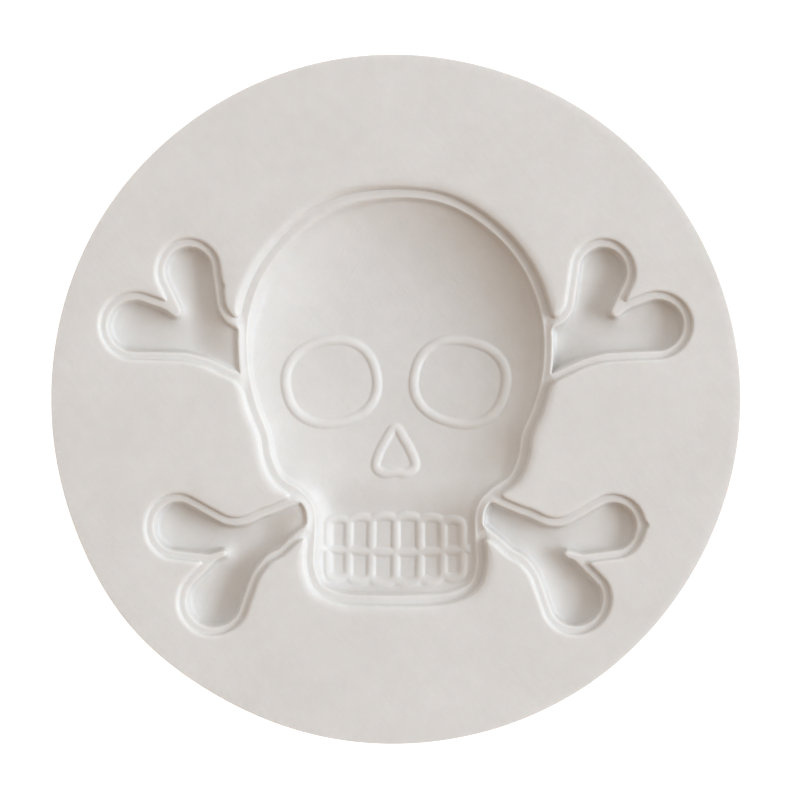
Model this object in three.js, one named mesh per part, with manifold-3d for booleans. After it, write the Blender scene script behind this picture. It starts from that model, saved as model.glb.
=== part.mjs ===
// A round one-piece silicone mould for sugar paste, with a skull-and-crossbones
// cavity in its top face. Millimetres, +Z up, +Y towards the crown of the skull,
// origin at the centre of the flat underside.
//
// The cavity follows the way such a mould is cast: a shallow ledge runs round the
// whole figure, the skull inside it is one dish that sinks towards the crown, each bone
// end is a steep-sided trough with a tongue of the ledge between its two knobs, and the
// drawn lines (eye sockets, nose, teeth) stand up from the floor as low ridges, which
// print as grooves in the pressed paste.

import * as THREE from 'three';
import { mergeVertices } from 'three/addons/utils/BufferGeometryUtils.js';
import Module from 'manifold-3d';

// ---------------------------------------------------------------- dimensions
const DISC_D = 76; // across the disc
const THICK = 11; // top face above the underside
const TOP_EDGE = 0.1; // small round on the top rim
const FOOT_EDGE = 0.6; // round on the bottom rim
const DISC_STEPS = 96;

const LEDGE_W = 0.82; // ledge that borders the skull
const LEDGE_Z = 1.12; // its depth below the top face
const BONE_LEDGE_W = 0.74; // the same round the bones
const BONE_LEDGE_Z = 0.66;

const DISH_WALL = 0.9; // steep wall from the ledge down to the dish
const DISH_DEPTH = 3.3; // the dish's floor below the ledge, at mid face
const DISH_LEAN = 0.07; // and how fast it sinks towards the crown
const DISH_FADE = 7; // the dish levels out this far inside its ledge
const HUB_Y = -3; // the dish's facets run out from this point

const TROUGH_DEPTH = 2.3; // bone troughs, below their ledge
const TROUGH_R = 1.1; // radius of the round at the foot of their walls

const RIDGE_W = 1.0; // drawn lines
const RIDGE_H = 0.3; // their height above the floor
const EYE = { x: 7.1, y: 1.9, a: 5.1, b: 4.6, tilt: -12, n: 2.3 };
const TOOTH_X = [-7.4, -5.2, -2.7, 0, 2.7, 5.2, 7.4]; // lines between the teeth
const GUM_Y = -13.7; // upper end of the upper teeth
const BITE_Y = -16.9; // line between the rows
const CHIN_Y = -19.7; // lower end of the lower teeth

// Right half of the skull's outline, from the crown down to the chin.
const SKULL_HALF = [
  [0, 23.3], [6.1, 22.3], [11.4, 19.1], [15.1, 14.6], [17.1, 9.2],
  [17.2, 3.7], [16.2, -0.9], [14.9, -4.1], [14.5, -6.6], [13.3, -9.2],
  [11.1, -10.7], [9.8, -12.3], [9.7, -15.4], [9.8, -18.6], [8.8, -21.2],
  [6.1, -22.4], [2.6, -22.6],
];

// The right half of the crossed bones, inside their ledge: circles [x, y, radius] joined
// in pairs. Each end has a shaft, two knobs, and the tongue of ledge between the knobs.
const BONES = [
  {
    shaft: [[9.0, 1.0, 2.1], [20.0, 6.6, 2.3]],
    knobs: [[[21.4, 9.2, 1.9], [22.9, 14.1, 2.75]], [[22.6, 6.9, 1.9], [28.8, 8.1, 3.0]]],
    tongue: [[24.2, 9.3, 0.26], [27.0, 12.0, 0.5]],
  },
  {
    shaft: [[6.0, -10.6, 1.0], [17.0, -16.4, 2.2]],
    knobs: [[[18.4, -15.9, 1.6], [24.0, -14.1, 2.75]], [[17.2, -17.6, 1.9], [19.9, -22.1, 3.1]]],
    tongue: [[18.9, -17.0, 0.26], [22.6, -18.3, 0.5]],
  },
];

const NOSE = [
  [0, -3.2], [1.0, -4.6], [1.9, -6.3], [2.2, -7.6], [1.3, -8.3], [0, -8.2],
];

// ------------------------------------------------------------------- helpers
const wasm = await Module();
wasm.setup();

function solid(geometry, matrix) {
  let g = geometry.clone();
  g.deleteAttribute('normal');
  g.deleteAttribute('uv');
  if (matrix) g.applyMatrix4(matrix);
  g = mergeVertices(g, 1e-5);
  const idx = g.index.array;
  const tris = [];
  for (let i = 0; i < idx.length; i += 3) {
    const [a, b, c] = [idx[i], idx[i + 1], idx[i + 2]];
    if (a !== b && b !== c && c !== a) tris.push(a, b, c);
  }
  return new wasm.Manifold(new wasm.Mesh({
    numProp: 3,
    vertProperties: new Float32Array(g.attributes.position.array),
    triVerts: new Uint32Array(tris),
  }));
}

function geometryOf(manifold) {
  const mesh = manifold.getMesh();
  const g = new THREE.BufferGeometry();
  g.setAttribute('position', new THREE.BufferAttribute(new Float32Array(mesh.vertProperties), 3));
  g.setIndex(new THREE.BufferAttribute(new Uint32Array(mesh.triVerts), 1));
  g.computeVertexNormals();
  return g;
}

const union = (list) => list.reduce((a, b) => a.add(b));

// Closed Catmull-Rom curve through the points, as a polygon with about `step` mm edges.
function smoothLoop(points, step) {
  const n = points.length;
  const out = [];
  for (let i = 0; i < n; i++) {
    const [p0, p1, p2, p3] = [-1, 0, 1, 2].map((k) => points[(i + k + n) % n]);
    const len = Math.hypot(p2[0] - p1[0], p2[1] - p1[1]);
    const m = Math.max(1, Math.round(len / step));
    for (let j = 0; j < m; j++) {
      const t = j / m;
      out.push([0, 1].map((c) => {
        const v0 = (p2[c] - p0[c]) / 2;
        const v1 = (p3[c] - p1[c]) / 2;
        return (2 * p1[c] - 2 * p2[c] + v0 + v1) * t ** 3
          + (-3 * p1[c] + 3 * p2[c] - 2 * v0 - v1) * t * t + v0 * t + p1[c];
      }));
    }
  }
  return out;
}

// The polygon moved inwards (d > 0) or outwards along its own normals.
function inset(loop, d) {
  const n = loop.length;
  let area = 0;
  for (let i = 0; i < n; i++) {
    const [a, b] = [loop[i], loop[(i + 1) % n]];
    area += a[0] * b[1] - b[0] * a[1];
  }
  const s = area > 0 ? 1 : -1;
  return loop.map((p, i) => {
    const a = loop[(i + n - 1) % n];
    const b = loop[(i + 1) % n];
    const t = [b[0] - a[0], b[1] - a[1]];
    const l = Math.hypot(t[0], t[1]);
    return [p[0] - (s * t[1] * d) / l, p[1] + (s * t[0] * d) / l];
  });
}

function prism(loop, z0, z1) {
  const shape = new THREE.Shape(loop.map(([x, y]) => new THREE.Vector2(x, y)));
  const g = new THREE.ExtrudeGeometry(shape, { depth: z1 - z0, bevelEnabled: false });
  return solid(g, new THREE.Matrix4().makeTranslation(0, 0, z0));
}

// A closed ring of the given width along a loop.
const band = (loop, width, z0, z1) => prism(inset(loop, -width / 2), z0, z1)
  .subtract(prism(inset(loop, width / 2), z0 - 1, z1 + 1));

// A straight bar from one point to another.
function bar(x0, y0, x1, y1, width, z0, z1) {
  const len = Math.hypot(x1 - x0, y1 - y0);
  const nx = (-(y1 - y0) / len) * (width / 2);
  const ny = ((x1 - x0) / len) * (width / 2);
  return prism([[x0 + nx, y0 + ny], [x0 - nx, y0 - ny], [x1 - nx, y1 - ny], [x1 + nx, y1 + ny]], z0, z1);
}

// ------------------------------------------------------------- the blank disc
function blank() {
  const R = DISC_D / 2;
  const p = [[0, 0], [R - FOOT_EDGE, 0]];
  for (const a of [45, 90]) {
    const t = THREE.MathUtils.degToRad(a);
    p.push([R - FOOT_EDGE + FOOT_EDGE * Math.sin(t), FOOT_EDGE - FOOT_EDGE * Math.cos(t)]);
  }
  for (const a of [0, 45, 90]) {
    const t = THREE.MathUtils.degToRad(a);
    p.push([R - TOP_EDGE + TOP_EDGE * Math.cos(t), THICK - TOP_EDGE + TOP_EDGE * Math.sin(t)]);
  }
  p.push([0, THICK]);
  const g = new THREE.LatheGeometry(p.map(([x, y]) => new THREE.Vector2(x, y)), DISC_STEPS);
  return solid(g, new THREE.Matrix4().makeRotationX(Math.PI / 2));
}

// ------------------------------------------------------------ the skull dish
const skullPoints = [
  ...SKULL_HALF,
  ...SKULL_HALF.slice(1).reverse().map(([x, y]) => [-x, y]),
];
const skullLoop = smoothLoop(skullPoints, 1.5);
const HIGH = THICK + 2;

// Distance from a point to the loop.
function toLoop(x, y, loop) {
  let best = Infinity;
  for (let i = 0; i < loop.length; i++) {
    const [a, b] = [loop[i], loop[(i + 1) % loop.length]];
    const [ex, ey] = [b[0] - a[0], b[1] - a[1]];
    const t = THREE.MathUtils.clamp(((x - a[0]) * ex + (y - a[1]) * ey) / (ex * ex + ey * ey), 0, 1);
    best = Math.min(best, Math.hypot(x - a[0] - t * ex, y - a[1] - t * ey));
  }
  return best;
}

// The space above the floor of a hollow. A lathed drum is drawn out from a hub to the
// loop, and its underside sinks with the distance from that loop.
function hollow(loop, [hx, hy], ledge, rings, depthAt, lift = 0) {
  const profile = [
    ...rings.map((r) => new THREE.Vector2(r, 0)),
    new THREE.Vector2(1, 0),
    new THREE.Vector2(1, 1),
    new THREE.Vector2(0, 1),
  ];
  const g = new THREE.LatheGeometry(profile, loop.length);
  const pos = g.attributes.position;
  for (let k = 0; k < pos.count; k++) {
    const [px, py] = loop[Math.floor(k / profile.length) % loop.length];
    const { x: r, y: top } = profile[k % profile.length];
    const x = hx + r * (px - hx);
    const y = hy + r * (py - hy);
    const depth = ledge + (r === 1 ? 0 : depthAt(toLoop(x, y, loop), y));
    pos.setXYZ(k, x, y, top ? HIGH : THICK - depth + lift);
  }
  return solid(g);
}

// Anticlockwise copy of a loop.
function turned(loop) {
  const area = loop.reduce((sum, [x, y], i) => {
    const [u, v] = loop[(i + 1) % loop.length];
    return sum + x * v - u * y;
  }, 0);
  return area > 0 ? loop : loop.slice().reverse();
}

const skullFloor = (lift) => hollow(
  turned(inset(skullLoop, LEDGE_W)),
  [0, HUB_Y],
  LEDGE_Z,
  [0, 0.25, 0.46, 0.63, 0.77, 0.88, 0.95, 0.98],
  (d, y) => {
    const sink = DISH_DEPTH - DISH_WALL + DISH_LEAN * (y - 3);
    return DISH_WALL + sink * (1 - (1 - Math.min(d / DISH_FADE, 1)) ** 2);
  },
  lift,
);

function ridgePlan() {
  const low = THICK - LEDGE_Z - DISH_DEPTH - 3;
  const high = THICK - LEDGE_Z;
  const parts = [];
  for (const side of [-1, 1]) {
    const loop = [];
    const tilt = THREE.MathUtils.degToRad(EYE.tilt * side);
    for (let i = 0; i < 26; i++) {
      const t = (i / 26) * Math.PI * 2;
      const c = Math.cos(t);
      const s = Math.sin(t);
      const x = EYE.a * Math.sign(c) * Math.abs(c) ** (2 / EYE.n);
      const y = EYE.b * Math.sign(s) * Math.abs(s) ** (2 / EYE.n);
      loop.push([
        side * EYE.x + x * Math.cos(tilt) - y * Math.sin(tilt),
        EYE.y + x * Math.sin(tilt) + y * Math.cos(tilt),
      ]);
    }
    parts.push(band(loop, RIDGE_W, low, high));
  }
  const nose = [...NOSE, ...NOSE.slice(1, -1).reverse().map(([x, y]) => [-x, y])];
  parts.push(band(smoothLoop(nose, 1.2), RIDGE_W * 0.85, low, high));
  const end = TOOTH_X[TOOTH_X.length - 1] + 0.4;
  for (const y of [GUM_Y, BITE_Y, CHIN_Y]) {
    parts.push(bar(-end, y, end, y, RIDGE_W * 0.9, low, high));
  }
  for (const x of TOOTH_X) parts.push(bar(x, GUM_Y, x, CHIN_Y, RIDGE_W * 0.9, low, high));
  return union(parts);
}

function skullCavity() {
  const ridges = ridgePlan().subtract(skullFloor(RIDGE_H));
  return skullFloor(0).subtract(ridges);
}

// ------------------------------------------------------------- the crossbones
// Outline round two circles and the tangents between them, grown outwards by `grow`.
function tapered([[x0, y0, r0], [x1, y1, r1]], side, grow, steps) {
  const turn = Math.atan2(y1 - y0, x1 - x0);
  const fan = Math.acos((r0 - r1) / Math.hypot(x1 - x0, y1 - y0));
  const loop = [];
  const arc = (x, y, r, a0, a1, n) => {
    for (let i = 0; i <= n; i++) {
      const a = a0 + ((a1 - a0) * i) / n;
      loop.push([side * (x + (r + grow) * Math.cos(a)), y + (r + grow) * Math.sin(a)]);
    }
  };
  arc(x1, y1, r1, turn - fan, turn + fan, steps);
  arc(x0, y0, r0, turn + fan, turn + 2 * Math.PI - fan, steps - 3);
  return turned(loop);
}

const boneEnds = BONES.flatMap(({ shaft, knobs, tongue }) => [1, -1].map((side) => ({
  limbs: [shaft, ...knobs],
  tongue,
  side,
})));

const boneLedge = ({ limbs, side }) => union(
  limbs.map((limb) => prism(tapered(limb, side, BONE_LEDGE_W, 11), THICK - BONE_LEDGE_Z, HIGH)),
);

function boneTrough({ limbs, tongue, side }) {
  const scoops = limbs.map((limb) => {
    const [[x0, y0], [x1, y1]] = limb;
    return hollow(
      tapered(limb, side, 0, 11),
      [side * (x0 + 0.6 * (x1 - x0)), y0 + 0.6 * (y1 - y0)],
      BONE_LEDGE_Z,
      [0, 0.5, 0.74, 0.88, 0.96],
      (d) => TROUGH_DEPTH * Math.sqrt(1 - (1 - Math.min(d / TROUGH_R, 1)) ** 2),
    );
  });
  return union(scoops).subtract(prism(tapered(tongue, side, 0, 8), 0, THICK - BONE_LEDGE_Z));
}

// ---------------------------------------------------------------- the mould
const ledge = union([
  prism(skullLoop, THICK - LEDGE_Z, HIGH),
  ...boneEnds.map(boneLedge),
]);
const troughs = union(boneEnds.map(boneTrough))
  .subtract(prism(skullLoop, 0, THICK - LEDGE_Z));

const body = blank()
  .subtract(ledge)
  .subtract(skullCavity())
  .subtract(troughs);

const silicone = new THREE.MeshStandardMaterial({
  color: 0xd8d3cf,
  roughness: 0.62,
  metalness: 0,
});

const mould = new THREE.Mesh(geometryOf(body), silicone);
mould.name = 'mould_body';

const part = new THREE.Group();
part.name = 'skull_mould';
part.add(mould);

export default part;
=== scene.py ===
import math

import bpy
import numpy as np
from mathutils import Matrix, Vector, kdtree
from mathutils.geometry import delaunay_2d_cdt


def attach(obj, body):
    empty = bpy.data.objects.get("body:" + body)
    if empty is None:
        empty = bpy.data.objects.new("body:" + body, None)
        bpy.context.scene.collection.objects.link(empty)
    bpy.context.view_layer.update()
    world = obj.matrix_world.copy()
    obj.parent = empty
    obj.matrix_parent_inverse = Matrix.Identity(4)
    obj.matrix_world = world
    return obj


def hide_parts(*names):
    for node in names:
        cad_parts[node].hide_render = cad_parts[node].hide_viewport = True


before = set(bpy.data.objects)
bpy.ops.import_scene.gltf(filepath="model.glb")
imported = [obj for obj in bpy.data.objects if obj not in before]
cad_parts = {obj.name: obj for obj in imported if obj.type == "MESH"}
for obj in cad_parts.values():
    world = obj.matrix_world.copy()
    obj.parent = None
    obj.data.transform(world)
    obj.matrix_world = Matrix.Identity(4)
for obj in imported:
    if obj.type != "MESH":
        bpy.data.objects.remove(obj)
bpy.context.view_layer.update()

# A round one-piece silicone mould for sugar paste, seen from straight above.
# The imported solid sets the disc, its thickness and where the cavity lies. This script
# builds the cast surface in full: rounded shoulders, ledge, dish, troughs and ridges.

# ------------------------------------------------------------------ dimensions, mm
R = 38.0            # disc
T = 11.0            # top face
RIM = 0.07          # round on the top rim
FOOT = 0.6          # round on the bottom rim
N_RIM = 480

LEDGE = 1.12        # depth of the ledge that borders every cavity
LEDGE_UP = 0.46     # it lies that much higher round the bones
LEDGE_SKULL = 0.82  # its width round the skull
LEDGE_BONE = 0.74   # and round the bones
SHOULDER_SKULL = 1.25  # plan width of the rounded shoulder above the ledge
SHOULDER_BONE = 0.52
ROUND = 0.56        # drop of that shoulder, above a short steep face
ROUND_BONE = 0.34
LIP = 0.04          # and of its long, faint run-out

WALL_W = 0.5        # steep wall between ledge and dish: its plan width
WALL_SOFT = 0.6     # and how much wider it is at the upper left
TROUGH_WALL_W = 0.44  # the same round the troughs
TROUGH_FADE = 1.7

RIDGE_W = 0.6       # half width of the drawn lines
RIDGE_H = 0.2

SKULL_HALF = [
    (0, 23.3), (6.1, 22.3), (11.4, 19.1), (15.1, 14.6), (17.1, 9.2),
    (17.2, 3.7), (16.2, -0.9), (14.9, -4.1), (14.5, -6.6), (13.3, -9.2),
    (11.1, -10.7), (9.8, -12.3), (9.7, -15.4), (9.8, -18.6), (8.8, -21.2),
    (6.1, -22.4), (2.6, -22.6),
]
# The right half of the crossed bones, inside their ledge. Each shaft is a row of
# (x, y, half width), each knob two such circles, and a thin tongue of the ledge runs in
# between the two knobs.
BONES = [
    dict(
        shaft=[(9.0, 1.0, 2.1), (15.5, 4.3, 2.2), (20.0, 6.6, 2.3)],
        knobs=[[(21.4, 9.2, 1.9), (22.9, 14.1, 2.75)], [(22.6, 6.9, 1.9), (28.8, 8.1, 3.0)]],
        tongue=[(24.2, 9.3, 0.26), (27.0, 12.0, 0.5)],
    ),
    dict(
        shaft=[(6.0, -10.6, 1.0), (9.7, -12.3, 1.3), (14.0, -14.9, 1.95), (17.0, -16.4, 2.2)],
        knobs=[[(18.4, -15.9, 1.6), (24.0, -14.1, 2.75)], [(17.2, -17.6, 1.9), (19.9, -22.1, 3.1)]],
        tongue=[(18.9, -17.0, 0.26), (22.6, -18.3, 0.5)],
    ),
]
EYE = dict(x=7.1, y=1.9, a=5.1, b=4.6, tilt=-12, n=2.3)
NOSE_HALF = [(0, -3.2), (1.0, -4.6), (1.9, -6.3), (2.2, -7.6), (1.3, -8.3), (0, -8.2)]
TOOTH_X = [0.0, 2.7, 5.2, 7.4]
GUM_Y, BITE_Y, CHIN_Y = -13.7, -16.7, -19.7


# ------------------------------------------------------------------ plane curves
def smooth_loop(points, step, closed=True):
    """Catmull-Rom curve through the points, cut about every step mm."""
    p = np.asarray(points, float)
    n = len(p)
    out = []
    for i in range(n if closed else n - 1):
        if closed:
            p0, p1, p2, p3 = (p[(i + k) % n] for k in (-1, 0, 1, 2))
        else:
            p0, p1, p2, p3 = (p[min(max(i + k, 0), n - 1)] for k in (-1, 0, 1, 2))
        m = max(1, int(round(np.hypot(*(p2 - p1)) / step)))
        t = (np.arange(m) / m)[:, None]
        v0, v1 = (p2 - p0) / 2, (p3 - p1) / 2
        out.append(
            (2 * p1 - 2 * p2 + v0 + v1) * t**3
            + (-3 * p1 + 3 * p2 - 2 * v0 - v1) * t * t
            + v0 * t
            + p1
        )
    if not closed:
        out.append(p[-1:])
    return np.concatenate(out)


def area(loop):
    x, y = loop[:, 0], loop[:, 1]
    return 0.5 * float(np.sum(x * np.roll(y, -1) - np.roll(x, -1) * y))


def resample(loop, spacing, blur=0.0, closed=True):
    """Even spacing along the curve, after an optional blur of that many mm."""
    p = np.vstack([loop, loop[:1]]) if closed else loop
    s = np.concatenate([[0], np.cumsum(np.hypot(*np.diff(p, axis=0).T))])
    fine = max(8, int(s[-1] / 0.06))
    t = np.linspace(0, s[-1], fine, endpoint=not closed)
    q = np.stack([np.interp(t, s, p[:, k]) for k in (0, 1)], 1)
    if blur and closed:
        r = int(3 * blur / 0.06)
        w = np.exp(-0.5 * (np.arange(-r, r + 1) * 0.06 / blur) ** 2)
        w /= w.sum()
        q = np.stack(
            [np.convolve(np.concatenate([q[-r:, k], q[:, k], q[:r, k]]), w, "valid") for k in (0, 1)], 1
        )
        return resample(q, spacing)
    n = max(4, int(round(s[-1] / spacing)))
    t = np.linspace(0, s[-1], n + (not closed), endpoint=not closed)
    return np.stack([np.interp(t, s, p[:, k]) for k in (0, 1)], 1)


def inward(loop):
    """Unit normals that point into the loop."""
    t = np.roll(loop, -1, 0) - np.roll(loop, 1, 0)
    t /= np.hypot(*t.T)[:, None]
    n = np.stack([-t[:, 1], t[:, 0]], 1)
    return n if area(loop) > 0 else -n


def seg_dist(points, a, b, sign=False):
    """Distance to the nearest of the segments a-b, positive inside their loop if sign."""
    p = np.asarray(points, np.float32)
    a, b = a.astype(np.float32), b.astype(np.float32)
    e = b - a
    l2 = np.maximum((e**2).sum(1), 1e-12)
    out = np.empty(len(p), np.float32)
    for i in range(0, len(p), 3000):
        x = p[i : i + 3000, :1] - a[:, 0]
        y = p[i : i + 3000, 1:] - a[:, 1]
        t = np.clip((x * e[:, 0] + y * e[:, 1]) / l2, 0, 1)
        d = np.sqrt(((x - t * e[:, 0]) ** 2 + (y - t * e[:, 1]) ** 2).min(1))
        if sign:
            py = p[i : i + 3000, 1:]
            cross = (a[:, 1] <= py) != (b[:, 1] <= py)
            with np.errstate(divide="ignore", invalid="ignore"):
                at = y * (e[:, 0] / np.where(e[:, 1] == 0, 1e-9, e[:, 1])) - x
            inside = (cross & (at > 0)).sum(1) % 2 == 1
            d = np.where(inside, d, -d)
        out[i : i + 3000] = d
    return out.astype(float)


def sdf(points, loop):
    return seg_dist(points, loop, np.roll(loop, -1, 0), True)


class Grid:
    """Values on a square grid over a box, with bilinear reading."""

    def __init__(self, x0, x1, y0, y1, h):
        self.x0, self.y0, self.h = x0, y0, h
        self.nx, self.ny = int(round((x1 - x0) / h)) + 1, int(round((y1 - y0) / h)) + 1
        self.xs, self.ys = x0 + h * np.arange(self.nx), y0 + h * np.arange(self.ny)
        gx, gy = np.meshgrid(self.xs, self.ys)
        self.points = np.stack([gx.ravel(), gy.ravel()], 1)

    def shape(self, v):
        return np.asarray(v).reshape(self.ny, self.nx)

    def read(self, f, p):
        u = np.clip((p[:, 0] - self.x0) / self.h, 0, self.nx - 1.001)
        v = np.clip((p[:, 1] - self.y0) / self.h, 0, self.ny - 1.001)
        i, j = u.astype(int), v.astype(int)
        u, v = u - i, v - j
        return (
            f[j, i] * (1 - u) * (1 - v) + f[j, i + 1] * u * (1 - v)
            + f[j + 1, i] * (1 - u) * v + f[j + 1, i + 1] * u * v
        )

    def contours(self, f, level=0.0):
        """Closed loops where f crosses level."""
        g = f - level
        g = np.where(g == 0, 1e-7, g)
        up = g > 0
        mixed = np.zeros((self.ny - 1, self.nx - 1), bool)
        quads = up[:-1, :-1].astype(int) + up[1:, :-1] + up[:-1, 1:] + up[1:, 1:]
        mixed[(quads > 0) & (quads < 4)] = True
        at, links = {}, {}

        def crossing(i0, j0, i1, j1):
            key = (i0, j0, i1, j1)
            if key not in at:
                a, b = g[j0, i0], g[j1, i1]
                t = a / (a - b)
                at[key] = (
                    self.xs[i0] + t * (self.xs[i1] - self.xs[i0]),
                    self.ys[j0] + t * (self.ys[j1] - self.ys[j0]),
                )
            return key

        for j, i in zip(*np.nonzero(mixed)):
            c = [(i, j), (i + 1, j), (i + 1, j + 1), (i, j + 1)]
            keys = []
            for k in range(4):
                (ia, ja), (ib, jb) = c[k], c[(k + 1) % 4]
                if up[ja, ia] != up[jb, ib]:
                    lo, hi = sorted([(ia, ja), (ib, jb)])
                    keys.append(crossing(*lo, *hi))
            for k in range(0, len(keys), 2):
                links.setdefault(keys[k], []).append(keys[k + 1])
                links.setdefault(keys[k + 1], []).append(keys[k])
        loops, seen = [], set()
        for start in links:
            if start in seen:
                continue
            path, here, last = [], start, None
            while here not in seen:
                seen.add(here)
                path.append(at[here])
                nxt = [k for k in links[here] if k != last and k not in seen]
                if not nxt:
                    break
                last, here = here, nxt[0]
            if len(path) > 12:
                loops.append(np.array(path))
        return sorted(loops, key=lambda q: -abs(area(q)))


def smax(a, b, k):
    return np.maximum(a, b) + np.maximum(k - np.abs(a - b), 0) ** 2 / (4 * k)


def smin(a, b, k):
    return -smax(-a, -b, k)


def smoothstep(x, a, b):
    t = np.clip((x - a) / (b - a), 0, 1)
    return t * t * (3 - 2 * t)


def sagging(f, d, fade, h, turns):
    """Sheet held at a wall (d = 0) and sucked down: 0 at the wall, towards 1 away from it.
    fade is how far from the wall it keeps sloping. f is the first guess; within 0.3 mm of
    the wall the straight-wall curve is kept."""
    k = 4 * (fade / h) ** 2
    free = d > 0.3
    f = np.where(free, f, 1 - np.exp(-np.maximum(d, 0) / fade))
    for _ in range(turns):
        m = f.copy()
        m[1:-1, 1:-1] = 0.25 * (f[:-2, 1:-1] + f[2:, 1:-1] + f[1:-1, :-2] + f[1:-1, 2:])
        f = np.where(free, (k * m + 1) / (k + 1), f)
    return f


# ------------------------------------------------------------------ the figure's outlines
skull_pts = SKULL_HALF + [(-x, y) for x, y in SKULL_HALF[:0:-1]]
skull_curve = smooth_loop(skull_pts, 0.3)


def tapered(points, chain, side):
    """Inside distance to a row of circles joined by straight tapers."""
    best = None
    for (x0, y0, r0), (x1, y1, r1) in zip(chain, chain[1:]):
        a, e = np.array([side * x0, y0]), np.array([side * (x1 - x0), y1 - y0])
        t = np.clip((points - a) @ e / (e @ e), 0, 1)
        s = r0 + (r1 - r0) * t - np.hypot(*(points - a - t[:, None] * e).T)
        best = s if best is None else smax(best, s, 0.4)
    return best


plan = Grid(-33, 33, -30, 27, 0.2)
s_skull = plan.shape(sdf(plan.points, skull_curve))
s_union = s_skull.copy()
s_bone_all = np.full_like(s_skull, -9.0)
trough_loops = []
for bone in BONES:
    for side in (1, -1):
        hub = np.array([side * bone["shaft"][-1][0], bone["shaft"][-1][1]])
        near = np.hypot(*(plan.points - hub).T) < 19
        q = plan.points[near]
        s = smax(tapered(q, bone["knobs"][0], side), tapered(q, bone["knobs"][1], side), 0.3)
        s = smax(s, tapered(q, bone["shaft"], side), 1.5)
        s = smin(s, -tapered(q, bone["tongue"], side), 0.2)
        full = np.full(len(plan.points), -9.0)
        full[near] = s
        inner = resample(plan.contours(plan.shape(full))[0], 0.2, 0.12)
        full[near] = sdf(q, inner)
        s_in = plan.shape(full)
        s_bone_all = np.maximum(s_bone_all, s_in + LEDGE_BONE)
        s_union = smax(s_union, s_in + LEDGE_BONE, 0.9)
        t = smin(s_in, -s_skull, 0.2)
        trough_loops.append(resample(plan.contours(t)[0], 0.2, 0.1))

union_loop = resample(plan.contours(s_union)[0], 0.3, 0.2)
bowl_loop = resample(plan.contours(s_skull, LEDGE_SKULL)[0], 0.3, 0.25)


# ------------------------------------------------------------------ the drawn lines
def socket(side):
    t = np.arange(120) / 120 * 2 * math.pi
    c, s = np.cos(t), np.sin(t)
    x = EYE["a"] * np.sign(c) * np.abs(c) ** (2 / EYE["n"])
    y = EYE["b"] * np.sign(s) * np.abs(s) ** (2 / EYE["n"])
    a = math.radians(EYE["tilt"] * side)
    return np.stack(
        [side * EYE["x"] + x * math.cos(a) - y * math.sin(a), EYE["y"] + x * math.sin(a) + y * math.cos(a)], 1
    )


lines = []  # (points, closed)
for side in (-1, 1):
    lines.append((resample(socket(side), 0.22, 0.3), True))
nose = NOSE_HALF + [(-x, y) for x, y in NOSE_HALF[-2:0:-1]]
lines.append((resample(smooth_loop(nose, 0.2), 0.2, 0.15), True))


def bite(x):
    return BITE_Y - 0.35 + 0.35 * (np.asarray(x) / 7.4) ** 2


def tooth_arch(x0, x1, y, up):
    t = np.linspace(0, math.pi, 15)
    c, r = (x0 + x1) / 2, (x1 - x0) / 2
    return np.stack([c - r * np.cos(t), y + up * 0.75 * np.sin(t) ** 0.8], 1)


xs_all = [-x for x in TOOTH_X[:0:-1]] + TOOTH_X
q = np.linspace(-8.3, 8.3, 40)
lines.append((resample(np.stack([q, bite(q)], 1), 0.22, closed=False), False))
for x in xs_all:
    top = GUM_Y - 0.35 * (x / 7.4) ** 2
    low = CHIN_Y + 0.55 * (x / 7.4) ** 2
    lines.append((resample(np.array([[x, top], [x, low]]), 0.22, closed=False), False))
for x0, x1 in zip(xs_all, xs_all[1:]):
    m = max(abs(x0), abs(x1)) / 7.4
    top = GUM_Y - 0.35 * m**2
    low = CHIN_Y + 0.55 * m**2
    lines.append((resample(tooth_arch(x0, x1, top, 1), 0.22, closed=False), False))
    lines.append((resample(tooth_arch(x0, x1, low, -1), 0.22, closed=False), False))

seg_a = np.concatenate([p if c else p[:-1] for p, c in lines])
seg_b = np.concatenate([np.roll(p, -1, 0) if c else p[1:] for p, c in lines])

# ------------------------------------------------------------------ the floors
def crownward(p):
    """-1 at the jaw and the lower left of the face, 1 at the crown and its right."""
    return np.clip((0.42 * p[:, 0] + 0.91 * (p[:, 1] - 3)) / 17, -1, 1)


def in_jaw(p):
    return smoothstep(-p[:, 1], 7.5, 12.5)


def soft_side(p):
    """1 along the upper left of the face, where the casting's edges are rounder."""
    a = np.arctan2(p[:, 1] - 3, p[:, 0])
    b = (a - math.radians(132) + math.pi) % (2 * math.pi) - math.pi
    return 1 - smoothstep(np.abs(b), math.radians(20), math.radians(48))


def dish_fade(p):
    jaw = 0.8 + 0.7 * smoothstep(p[:, 0], -4, 4)
    return (4.5 + 1.4 * crownward(p)) * (1 - in_jaw(p)) + jaw * in_jaw(p)


def wall_width(p):
    return WALL_W + WALL_SOFT * soft_side(p)


def leftward(p):
    return smoothstep(-0.85 * p[:, 0] - 0.5 * (p[:, 1] - 2), -6, 14)


def wall_drop(p):
    left = leftward(p)
    jaw = 0.5 + 1.1 * smoothstep(-p[:, 0], -4, 4)
    return (0.7 + 0.5 * left) * (1 - in_jaw(p)) + jaw * in_jaw(p)


def dish_amount(p):
    """What the dish's floor sinks further than the steep wall."""
    c = crownward(p)
    face = 3.6 + 2.5 * np.maximum(c, 0) + 1.15 * np.minimum(c, 0) - 0.3 * leftward(p)
    jaw = 2.9 - 0.02 * p[:, 0] - 1.9 * np.clip(p[:, 0] / 8.5, 0, 1) ** 2
    return face * (1 - in_jaw(p)) + jaw * in_jaw(p) - wall_drop(p)


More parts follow.
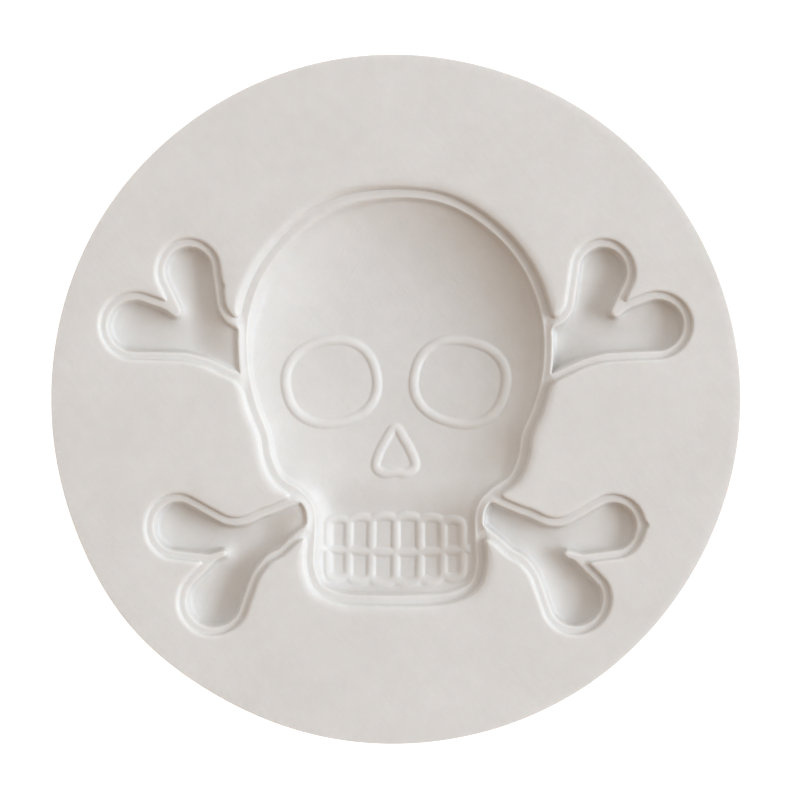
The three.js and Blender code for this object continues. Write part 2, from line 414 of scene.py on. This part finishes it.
bowl_d = plan.shape(sdf(plan.points, bowl_loop) - 0.5 * wall_width(plan.points))
fade = plan.shape(dish_fade(plan.points))
guess = 1 - np.exp(-np.maximum(bowl_d, 0) / fade)
rough = sagging(guess[::2, ::2], bowl_d[::2, ::2], fade[::2, ::2], 0.4, 700)
rough_grid = Grid(plan.x0, plan.x0 + 0.4 * (rough.shape[1] - 1), plan.y0, plan.y0 + 0.4 * (rough.shape[0] - 1), 0.4)
bowl_sag = sagging(plan.shape(rough_grid.read(rough, plan.points)), bowl_d, fade, 0.2, 260)


def trough_amount(p, hub):
    """How far the trough's floor lies below the ledge. Next to the skull the troughs on
    the left run out, and those on the right are a little deeper. The upper right one is
    the deepest and rises most towards its end."""
    lean = 1 if min(hub) > 0 else 0
    away = 0.85 * (p[:, 0] - hub[0]) + 0.5 * (p[:, 1] - hub[1])
    near = 1 - smoothstep(-plan.read(s_skull, p), 0.3, 5.5)
    return (2.35 + 0.3 * lean - (0.055 + 0.045 * lean) * away) * (1 + (-0.66 if hub[0] < 0 else 0.18) * near)


trough_data = []
for loop in trough_loops:
    lo, hi = loop.min(0) - 0.6, loop.max(0) + 0.6
    g = Grid(lo[0], hi[0], lo[1], hi[1], 0.15)
    d = g.shape(sdf(g.points, loop)) - 0.5 * TROUGH_WALL_W
    trough_data.append((g, sagging(1 - np.exp(-np.maximum(d, 0) / TROUGH_FADE), d, TROUGH_FADE, 0.15, 500), loop))


def ridge_shape(d):
    t = np.clip(d / RIDGE_W, 0, 1)
    return np.cos(t**1.25 * math.pi / 2) ** 1.3


def depth_at(p):
    """Depth below the top face at each point, in mm."""
    d_u = sdf(p, union_loop)
    near_bone = plan.read(s_bone_all, p) - plan.read(s_skull, p)
    bony = smoothstep(near_bone, -0.9, 0.9) * (1 - smoothstep(plan.read(s_skull, p), -0.3, LEDGE_SKULL))
    w = SHOULDER_SKULL + (SHOULDER_BONE - SHOULDER_SKULL) * bony
    ledge = LEDGE - LEDGE_UP * bony
    fillet = ROUND + (ROUND_BONE - ROUND) * bony
    out = np.clip(-d_u / w, 0, 1)
    shoulder = fillet * (1 - np.sqrt(np.clip(1 - (1 - out) ** 2, 0, 1))) * (d_u <= 0)
    lip = LIP + 0.07 * smoothstep(-p[:, 0] + 0.35 * np.abs(p[:, 1]), 2, 13)
    shoulder += lip * np.exp(-np.maximum(-d_u, 0) / 1.4)
    steep = 0.36 - 0.12 * bony + 0.6 * soft_side(p) * (1 - bony)
    shoulder += (ledge - fillet - lip) * np.clip(1 + d_u / steep, 0, 1) ** 2
    depth = np.where(d_u > 0, ledge + 0.04 * np.clip(d_u, 0, 0.8), shoulder)

    box = (np.abs(p[:, 0]) < 18.5) & (p[:, 1] > -24) & (p[:, 1] < 24.5)
    q = p[box]
    d = sdf(q, bowl_loop)
    t = np.clip(d / wall_width(q), 0, 1)
    wall = wall_drop(q) * t * t * (3 - 2 * t)
    e = d - 0.5 * wall_width(q)
    k = smoothstep(e, 0.35, 0.9)
    sag = (1 - np.exp(-np.maximum(e, 0) / dish_fade(q))) * (1 - k) + plan.read(bowl_sag, q) * k
    floor = np.where(d > 0, wall + dish_amount(q) * sag, 0)
    ridge = seg_dist(q, seg_a, seg_b)
    floor = floor - RIDGE_H * ridge_shape(ridge) * smoothstep(d, 0.4, 1.1)
    depth[box] += floor

    for g, sag, loop in trough_data:
        lo, hi = loop.min(0) - 0.5, loop.max(0) + 0.5
        box = np.all((p > lo) & (p < hi), 1)
        q = p[box]
        d = sdf(q, loop)
        t = np.clip(d / TROUGH_WALL_W, 0, 1)
        b = d - 0.5 * TROUGH_WALL_W
        k = smoothstep(b, 0.3, 0.7)
        f = (1 - np.exp(-np.maximum(b, 0) / TROUGH_FADE)) * (1 - k) + g.read(sag, q) * k
        floor = np.where(d > 0, trough_amount(q, loop.mean(0)) * (0.66 * t * t * (3 - 2 * t) + 0.4 * f), 0)
        floor += 0.07 * np.exp(-np.abs(np.minimum(d, 0)) / 0.09) * smoothstep(d, -0.35, -0.001)
        depth[box] += floor
    return depth, d_u


# ------------------------------------------------------------------ mesh points
class Cloud:
    """Points kept in the order they come in, with new ones dropped near old ones."""

    def __init__(self):
        self.sets = []

    def all(self):
        return np.concatenate(self.sets) if self.sets else np.zeros((0, 2))

    def add(self, p, gap, own=0.0):
        old = self.all()
        if len(old) and gap > 0:
            tree = kdtree.KDTree(len(old))
            for i, (x, y) in enumerate(old.tolist()):
                tree.insert((x, y, 0), i)
            tree.balance()
            p = p[[tree.find((x, y, 0))[2] >= gap for x, y in p.tolist()]]
        if own > 0:
            key = np.round(p / own).astype(int)
            _, first = np.unique(key, axis=0, return_index=True)
            p = p[np.sort(first)]
        self.sets.append(p)


def hexagons(x0, x1, y0, y1, h):
    rows = []
    for j, y in enumerate(np.arange(y0, y1, h * 0.866)):
        x = np.arange(x0 + (j % 2) * h / 2, x1, h)
        rows.append(np.stack([x, np.full_like(x, y)], 1))
    return np.concatenate(rows)


def rows_beside(loop, offsets):
    n = inward(loop)
    out = []
    for o in offsets:
        p = loop + n * o
        d = sdf(p, loop)
        out.append(p[np.abs(d - o) < 0.012 + 0.04 * abs(o)])
    return np.concatenate(out)


cloud = Cloud()
ang = np.arange(N_RIM) / N_RIM * 2 * math.pi
rim = np.stack([np.cos(ang), np.sin(ang)], 1)
cloud.add(np.concatenate([rim * (R - RIM), rim[::2] * (R - RIM - 0.25), rim[::2] * (R - RIM - 0.9)]), 0)
cloud.add(rows_beside(union_loop, [
    -2.1, -1.6, -1.25, -1.02, -0.84, -0.7, -0.57, -0.45, -0.34, -0.25, -0.19, -0.14, -0.09, -0.045, -0.01,
    0.03, 0.09, 0.2, 0.38]), 0.1, 0.03)
cloud.add(rows_beside(bowl_loop, [-0.3, -0.12, -0.03, 0.04, 0.1, 0.17, 0.24, 0.31, 0.38, 0.45, 0.53, 0.64, 0.8, 1.0]), 0.06, 0.03)
for loop in trough_loops:
    cloud.add(rows_beside(loop, [
        -0.26, -0.13, -0.05, 0.01, 0.05, 0.09, 0.13, 0.17, 0.21, 0.25, 0.29, 0.34, 0.41, 0.52, 0.68, 0.9]), 0.05, 0.02)
ridge_rows = []
for p, closed in lines:
    if closed:
        n = inward(p)
    else:
        t = np.gradient(p, axis=0)
        t /= np.hypot(*t.T)[:, None]
        n = np.stack([-t[:, 1], t[:, 0]], 1)
    for o in (0, 0.14, 0.26, 0.36, 0.44, 0.5, 0.545, 0.58, 0.66, 0.8):
        for s in ((1,) if o == 0 else (-1, 1)):
            ridge_rows.append(np.column_stack([p + s * o * n, np.full(len(p), o)]))
ridge_rows = np.concatenate(ridge_rows)
ok = seg_dist(ridge_rows[:, :2], seg_a, seg_b) > ridge_rows[:, 2] - 0.015
cloud.add(ridge_rows[ok, :2], 0.07, 0.045)

fill = hexagons(-18, 18, -23, 24, 0.46)
fill = fill[sdf(fill, bowl_loop) > 0.9]
cloud.add(fill, 0.3)
for loop in trough_loops:
    lo, hi = loop.min(0), loop.max(0)
    fill = hexagons(lo[0], hi[0], lo[1], hi[1], 0.3)
    fill = fill[sdf(fill, loop) > 0.9]
    cloud.add(fill, 0.2)
fill = hexagons(-37, 37, -37, 37, 0.8)
d = np.where(np.hypot(*fill.T) < R - 1.2, sdf(fill, union_loop), 9)
cloud.add(fill[(d < -2.4) & (d > -4.5)], 0.5)
fill = hexagons(-37, 37, -37, 37, 1.3)
d = np.where(np.hypot(*fill.T) < R - 1.6, sdf(fill, union_loop), 9)
cloud.add(fill[d < -4.5], 0.8)

top = cloud.all()
depth, d_u = depth_at(top)


def highlight_and_polish_at(p):
    """How strongly each point gets the paler painted highlight and the smoother finish: most along edges, less on the
    drawn lines.
    """
    bowl = sdf(p, bowl_loop)
    line = ridge_shape(seg_dist(p, seg_a, seg_b)) * smoothstep(bowl, 0.4, 1.1)
    edge_amount = np.maximum(np.exp(-((d_u + 0.25) / 0.3) ** 2), 0.8 * np.exp(-((bowl + 0.05) / 0.25) ** 2))
    edge_amount = np.maximum(edge_amount, 0.7 * line)
    edge_amount = np.maximum(edge_amount, np.exp(-((R - np.hypot(*p.T)) / 0.5) ** 2))
    for loop in trough_loops:
        lo, hi = loop.min(0) - 1, loop.max(0) + 1
        box = np.all((p > lo) & (p < hi), 1)
        edge_amount[box] = np.maximum(edge_amount[box], 0.8 * np.exp(-((sdf(p[box], loop) + 0.05) / 0.22) ** 2))
    return edge_amount


highlight_and_polish_top = highlight_and_polish_at(top)


# ------------------------------------------------------------------ small irregularities
def waves(p, seed, amount, length, count=7):
    rng = np.random.default_rng(seed)
    out = np.zeros(len(p))
    for _ in range(count):
        a = rng.uniform(0, 2 * math.pi)
        k = 2 * math.pi / (length * rng.uniform(0.7, 1.5))
        out += np.sin(k * (p[:, 0] * math.cos(a) + p[:, 1] * math.sin(a)) + rng.uniform(0, 2 * math.pi))
    return amount * out / math.sqrt(count)


def rim_swell(a):
    """The disc isn't a true circle: it swells a little at its lower left."""
    b = (a - math.radians(221) + math.pi) % (2 * math.pi) - math.pi
    return 0.5 * np.exp(-((b / math.radians(15)) ** 2)) + 0.05 * np.sin(3 * a + 0.7) + 0.03 * np.sin(7 * a + 2.1)


def warped(p):
    r = np.hypot(*p.T)
    keep = 1 - smoothstep(r, 33, 37.5)
    w = np.stack([waves(p, 11, 0.075, 13), waves(p, 23, 0.075, 13)], 1) * keep[:, None]
    a = np.arctan2(p[:, 1], p[:, 0])
    grow = smoothstep(r, 28, R) * rim_swell(a) / np.maximum(r, 1)
    w += p * grow[:, None]
    return p + w


top_xy = warped(top)
# two small tears in the rims of the bone ends
for (cx, cy), (dx, dy), size, push in (((27.6, -14.0), (0.97, 0.2), 0.42, 0.34), ((-19.2, 12.4), (0.95, -0.1), 0.38, 0.22)):
    g = np.exp(-(((top_xy[:, 0] - cx) ** 2 + (top_xy[:, 1] - cy) ** 2) / size**2))
    top_xy += g[:, None] * push * np.array([[dx, dy]])

top_z = T - depth + waves(top, 5, 0.006, 17) * (1 - smoothstep(np.hypot(*top.T), 35, 37.5))

# ------------------------------------------------------------------ triangles
verts2d, _, faces, *_ = delaunay_2d_cdt([Vector(p) for p in top.tolist()], [], [], 0, 1e-7, False)
assert len(verts2d) == len(top)
top_faces = [tuple(f) for f in faces]

verts = np.column_stack([top_xy, top_z])
n_top = len(verts)
rim_ids = np.arange(N_RIM)


def ring(radius, z):
    p = rim * radius
    a = np.arctan2(p[:, 1], p[:, 0])
    swell = rim_swell(a)
    return np.column_stack([rim * (radius + swell)[:, None], np.full(N_RIM, z)])


levels = []
for deg in (22, 45, 68, 90):
    a = math.radians(deg)
    levels.append((R - RIM + RIM * math.sin(a), T - RIM + RIM * math.cos(a)))
for z in (9.6, 8.2, 6.8, 5.4, 4.0, 2.6, 1.4):
    levels.append((R - 0.10 * (1 - z / T), z))
for deg in (0, 22, 45, 68, 90):
    a = math.radians(deg)
    levels.append((R - 0.12 - FOOT + FOOT * math.cos(a), FOOT - FOOT * math.sin(a)))

blocks = [verts]
side_faces = []
last = rim_ids
count = n_top
# the rim of the top face follows the same swell as the side
verts[rim_ids, :2] = ring(R - RIM, T)[:, :2]
verts[rim_ids, 2] = T
for radius, z in levels:
    blocks.append(ring(radius, z))
    now = count + np.arange(N_RIM)
    count += N_RIM
    a, b = last, now
    a2, b2 = np.roll(a, -1), np.roll(b, -1)
    side_faces += np.stack([a, b, b2, a2], 1).tolist()
    last = now
side_faces = [tuple(f) for f in side_faces]

# underside: open-poured back, flat where it rests, with a few burst air bubbles
rng = np.random.default_rng(7)
pits = []
while len(pits) < 16:
    a, r = rng.uniform(0, 2 * math.pi), 34 * math.sqrt(rng.uniform(0, 1))
    c = np.array([r * math.cos(a), r * math.sin(a)])
    if all(np.hypot(*(c - q[0])) > 3 for q in pits):
        pits.append((c, rng.uniform(0.22, 0.62)))
under = Cloud()
under.add(rim * (R - 0.12 - FOOT), 0)
for c, r in pits:
    rows = [c[None]]
    for f in (0.3, 0.55, 0.75, 0.88, 0.96, 1.0, 1.06, 1.2, 1.5):
        m = max(8, int(20 * min(f, 1)))
        t = np.arange(m) / m * 2 * math.pi
        rows.append(c + f * r * np.stack([np.cos(t), np.sin(t)], 1))
    under.add(np.concatenate(rows), 0.05)
fill = hexagons(-37, 37, -37, 37, 1.5)
under.add(fill[np.hypot(*fill.T) < R - 1.7], 0.6)
low = under.all()
zs = np.zeros(len(low))
for c, r in pits:
    t = np.hypot(*(low - c).T) / r
    zs += np.where(t < 1, r * 0.8 * np.sqrt(np.clip(1 - t**2, 0, 1)), 0)
zs += 0.02 * (1 + waves(low, 31, 0.5, 16)).clip(0, 2) * (1 - smoothstep(np.hypot(*low.T), 30, 36.5))
vl, _, fl, *_ = delaunay_2d_cdt([Vector(p) for p in low.tolist()], [], [], 0, 1e-7, False)
assert len(vl) == len(low)
remap = np.concatenate([last, count + np.arange(len(low) - N_RIM)])
blocks.append(np.column_stack([low, zs])[N_RIM:])
under_faces = [tuple(int(remap[i]) for i in f[::-1]) for f in fl]

all_verts = np.concatenate(blocks) * 0.001
mesh = bpy.data.meshes.new("mould")
mesh.from_pydata(all_verts.tolist(), [], top_faces + side_faces + under_faces)
mesh.validate()
mesh.polygons.foreach_set("use_smooth", np.ones(len(mesh.polygons), bool))
highlight_and_polish_all = np.zeros(len(all_verts), np.float32)
highlight_and_polish_all[:n_top] = highlight_and_polish_top
# the rounded top rim and the foot of the side get the painted highlight and smoother finish too
highlight_and_polish_all[n_top : n_top + 5 * N_RIM] = np.repeat([0.95, 0.9, 0.8, 0.7, 0.25], N_RIM)
highlight_and_polish_all[n_top + (len(levels) - 5) * N_RIM : n_top + len(levels) * N_RIM] = 0.6
mesh.attributes.new("highlight_and_polish", "FLOAT", "POINT").data.foreach_set("value", highlight_and_polish_all)
mesh.update()
mould = bpy.data.objects.new("mould", mesh)
bpy.context.scene.collection.objects.link(mould)
print("mesh", len(mesh.vertices), "vertices", len(mesh.polygons), "faces")

# ------------------------------------------------------------------ silicone
mat = bpy.data.materials.new("silicone")
mat.use_nodes = True
nt = mat.node_tree
bsdf = nt.nodes["Principled BSDF"]
bsdf.inputs["Subsurface Weight"].default_value = 0.3
bsdf.inputs["Subsurface Radius"].default_value = (1.0, 0.7, 0.5)
bsdf.inputs["Subsurface Scale"].default_value = 0.0004
at = nt.nodes.new("ShaderNodeTexCoord").outputs["Object"]


def noise(scale, detail=3.0, rough=0.55, turn=0.0, stretch=None):
    """Noise on the object's own metres. stretch gives features per metre along x, y, z."""
    n = nt.nodes.new("ShaderNodeTexNoise")
    n.inputs["Detail"].default_value = detail
    n.inputs["Roughness"].default_value = rough
    n.inputs["Scale"].default_value = scale
    if stretch:
        m = nt.nodes.new("ShaderNodeMapping")
        m.vector_type = "TEXTURE"
        m.inputs["Rotation"].default_value = (0, 0, math.radians(turn))
        m.inputs["Scale"].default_value = tuple(1 / k for k in stretch)
        nt.links.new(at, m.inputs["Vector"])
        nt.links.new(m.outputs["Vector"], n.inputs["Vector"])
    else:
        nt.links.new(at, n.inputs["Vector"])
    return n.outputs["Fac"]


def math_node(kind, a, b):
    n = nt.nodes.new("ShaderNodeMath")
    n.operation = kind
    for k, v in enumerate((a, b)):
        if isinstance(v, (int, float)):
            n.inputs[k].default_value = v
        else:
            nt.links.new(v, n.inputs[k])
    return n.outputs[0]


def ramp(fac, *stops):
    n = nt.nodes.new("ShaderNodeValToRGB")
    while len(n.color_ramp.elements) < len(stops):
        n.color_ramp.elements.new(0.5)
    for e, (pos, col) in zip(n.color_ramp.elements, stops):
        e.position = pos
        e.color = (*col, 1) if isinstance(col, tuple) else (col, col, col, 1)
    nt.links.new(fac, n.inputs["Fac"])
    return n.outputs["Color"]


def bump(height, distance, strength=1.0, under=None):
    n = nt.nodes.new("ShaderNodeBump")
    n.inputs["Distance"].default_value = distance
    n.inputs["Strength"].default_value = strength
    nt.links.new(height, n.inputs["Height"])
    if under:
        nt.links.new(under, n.inputs["Normal"])
    return n.outputs["Normal"]


# how far below the top face: 0 on it, 1 from 1.3 mm down
split = nt.nodes.new("ShaderNodeSeparateXYZ")
nt.links.new(at, split.inputs[0])
deep = nt.nodes.new("ShaderNodeMapRange")
deep.inputs["From Min"].default_value = (T - 0.5) / 1000
deep.inputs["From Max"].default_value = (T - 1.8) / 1000
nt.links.new(split.outputs["Z"], deep.inputs["Value"])
deep = deep.outputs["Result"]

# the lowest floors, where the tone is darkened as painted shade: 1 from 5.2 mm down
deep_floor_shade = nt.nodes.new("ShaderNodeMapRange")
deep_floor_shade.interpolation_type = "SMOOTHSTEP"
deep_floor_shade.inputs["From Min"].default_value = (T - 2.8) / 1000
deep_floor_shade.inputs["From Max"].default_value = (T - 5.2) / 1000
nt.links.new(split.outputs["Z"], deep_floor_shade.inputs["Value"])
deep_floor_shade = deep_floor_shade.outputs["Result"]


def mixed(factor, a, b):
    n = nt.nodes.new("ShaderNodeMix")
    n.data_type = "RGBA"
    nt.links.new(factor, n.inputs[0])
    nt.links.new(a, n.inputs[6])
    nt.links.new(b, n.inputs[7])
    return n.outputs[2]


# edges and ridge tops: a paler painted highlight and a smoother finish, broken up so that no edge is lit evenly
highlight_and_polish_in = nt.nodes.new("ShaderNodeAttribute")
highlight_and_polish_in.attribute_name = "highlight_and_polish"
highlight_and_polish = math_node("MULTIPLY", highlight_and_polish_in.outputs["Fac"], ramp(noise(330, 2.0), (0.32, 0.25), (0.62, 1.0)))

# cloudy tone of the cast rubber, with a paler painted highlight on edges and ridge tops and a darker painted shade on
# the lowest floors
clouds = math_node("ADD", math_node("MULTIPLY", noise(110, 2.0), 0.6), math_node("MULTIPLY", noise(650, 3.0), 0.4))
pale = ramp(clouds, (0.30, (0.623, 0.593, 0.563)), (0.50, (0.645, 0.617, 0.588)), (0.70, (0.668, 0.642, 0.616)))
# painted shade: a darker copy of the tone for the lowest floors
painted_floor_shade = ramp(clouds, (0.25, (0.564, 0.537, 0.512)), (0.50, (0.598, 0.571, 0.546)), (0.75, (0.632, 0.604, 0.578)))
# painted highlight: a paler copy of the tone for edges and ridge tops
painted_edge_highlight = ramp(clouds, (0.35, (0.655, 0.628, 0.600)), (0.65, (0.690, 0.665, 0.638)))
nt.links.new(mixed(highlight_and_polish, mixed(deep_floor_shade, pale, painted_floor_shade), painted_edge_highlight), bsdf.inputs["Base Color"])

# the cavity was cast on a smoother master than the open face
sheen = math_node("MULTIPLY_ADD", noise(420, 2.0), 0.22)
sheen.node.inputs[2].default_value = 0.50
sheen = math_node("SUBTRACT", sheen, math_node("MULTIPLY", deep, 0.07))
nt.links.new(math_node("SUBTRACT", sheen, math_node("MULTIPLY", highlight_and_polish, 0.05)), bsdf.inputs["Roughness"])

# fine grain, long rolling streaks in two directions, slow unevenness
normal = bump(noise(1700, 4.0, 0.65), 0.000017)
normal = bump(noise(1.0, 2.0, 0.5, 38, (70, 1300, 70)), 0.000014, under=normal)
normal = bump(noise(1.0, 2.0, 0.5, -52, (80, 1500, 80)), 0.000011, under=normal)
normal = bump(noise(210, 2.0, 0.5), 0.000035, under=normal)
# thin tool marks on the floors of the cavity
marks = ramp(noise(1.0, 1.0, 0.4, 62, (160, 2300, 160)), (0.60, 0.0), (0.66, 1.0))
marks = math_node("MULTIPLY", marks, math_node("MULTIPLY", deep, ramp(noise(140, 1.0), (0.45, 0.0), (0.60, 1.0))))
normal = bump(marks, 0.000006, under=normal)
nt.links.new(normal, bsdf.inputs["Normal"])
mesh.materials.append(mat)

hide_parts("mould_body")
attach(mould, "root")

# ------------------------------------------------------------------ floor, light, camera
scene = bpy.context.scene
bpy.ops.mesh.primitive_plane_add(size=6, location=(0, 0, -0.00003))
floor = bpy.context.object
floor.name = "floor"
fm = bpy.data.materials.new("floor")
fm.use_nodes = True
fb = fm.node_tree.nodes["Principled BSDF"]
fb.inputs["Base Color"].default_value = (0.4, 0.4, 0.4, 1)
fb.inputs["Roughness"].default_value = 0.9
fb.inputs["Specular IOR Level"].default_value = 0.0
fb.inputs["Emission Color"].default_value = (1, 1, 1, 1)
fb.inputs["Emission Strength"].default_value = 0.9
floor.data.materials.append(fm)

# a big pale room, brighter on the side of the windows
world = bpy.data.worlds.new("studio")
world.use_nodes = True
wn, wl = world.node_tree.nodes, world.node_tree.links
sky = wn["Background"]
where = wn.new("ShaderNodeTexCoord")
toward = wn.new("ShaderNodeVectorMath")
toward.operation = "DOT_PRODUCT"
toward.inputs[1].default_value = (math.cos(math.radians(61)), math.sin(math.radians(61)), 0)
level = wn.new("ShaderNodeMath")
level.operation = "MULTIPLY_ADD"
level.inputs[1].default_value = 0.54 * 1.9
level.inputs[2].default_value = 0.697 * 1.9
wl.new(where.outputs["Generated"], toward.inputs[0])
wl.new(toward.outputs["Value"], level.inputs[0])
wl.new(level.outputs[0], sky.inputs["Strength"])
# its far side is dim and brown
across = wn.new("ShaderNodeMapRange")
across.inputs["From Min"].default_value = -1
across.inputs["From Max"].default_value = 1
wl.new(toward.outputs["Value"], across.inputs["Value"])
walls = wn.new("ShaderNodeValToRGB")
tints = ((0.0, 1.62, 0.5), (0.25, 1.29, 0.75), (0.42, 1.07, 0.95), (0.58, 1.0, 1.0), (1.0, 0.985, 1.0))
while len(walls.color_ramp.elements) < len(tints):
    walls.color_ramp.elements.new(0.5)
for stop, (pos, red, blue) in zip(walls.color_ramp.elements, tints):
    stop.position = pos
    stop.color = (red / 1.9, 1 / 1.9, blue / 1.9, 1)
wl.new(across.outputs["Result"], walls.inputs["Fac"])
wl.new(walls.outputs["Color"], sky.inputs["Color"])
scene.world = world


def softbox(name, azimuth, elevation, distance, width, height, power, color=(1, 1, 1)):
    a, e = math.radians(azimuth), math.radians(elevation)
    way = Vector((math.cos(e) * math.cos(a), math.cos(e) * math.sin(a), math.sin(e)))
    data = bpy.data.lights.new(name, "AREA")
    data.shape = "RECTANGLE"
    data.size, data.size_y = width, height
    data.energy = power
    data.color = color
    light = bpy.data.objects.new(name, data)
    light.location = way * distance
    light.rotation_euler = (-way).to_track_quat("-Z", "Y").to_euler()
    scene.collection.objects.link(light)


COOL = (0.878, 1.0, 1.12)
softbox("window", -2, 34, 2.5, 1.5, 0.9, 43.3, COOL)

PX = 76.0 / 689.6
cam = bpy.data.cameras.new("camera")
cam.lens = 200
cam.sensor_width = 36
cam.clip_start, cam.clip_end = 0.01, 20
distance = 800 * PX * 200 / 36
camera = bpy.data.objects.new("camera", cam)
camera.location = (4.5 * PX / 1000, -1.1 * PX / 1000, (T + distance) / 1000)
camera.rotation_euler = (0, 0, 0)
scene.collection.objects.link(camera)
scene.camera = camera

scene.view_settings.view_transform = "Standard"
scene.view_settings.look = "None"
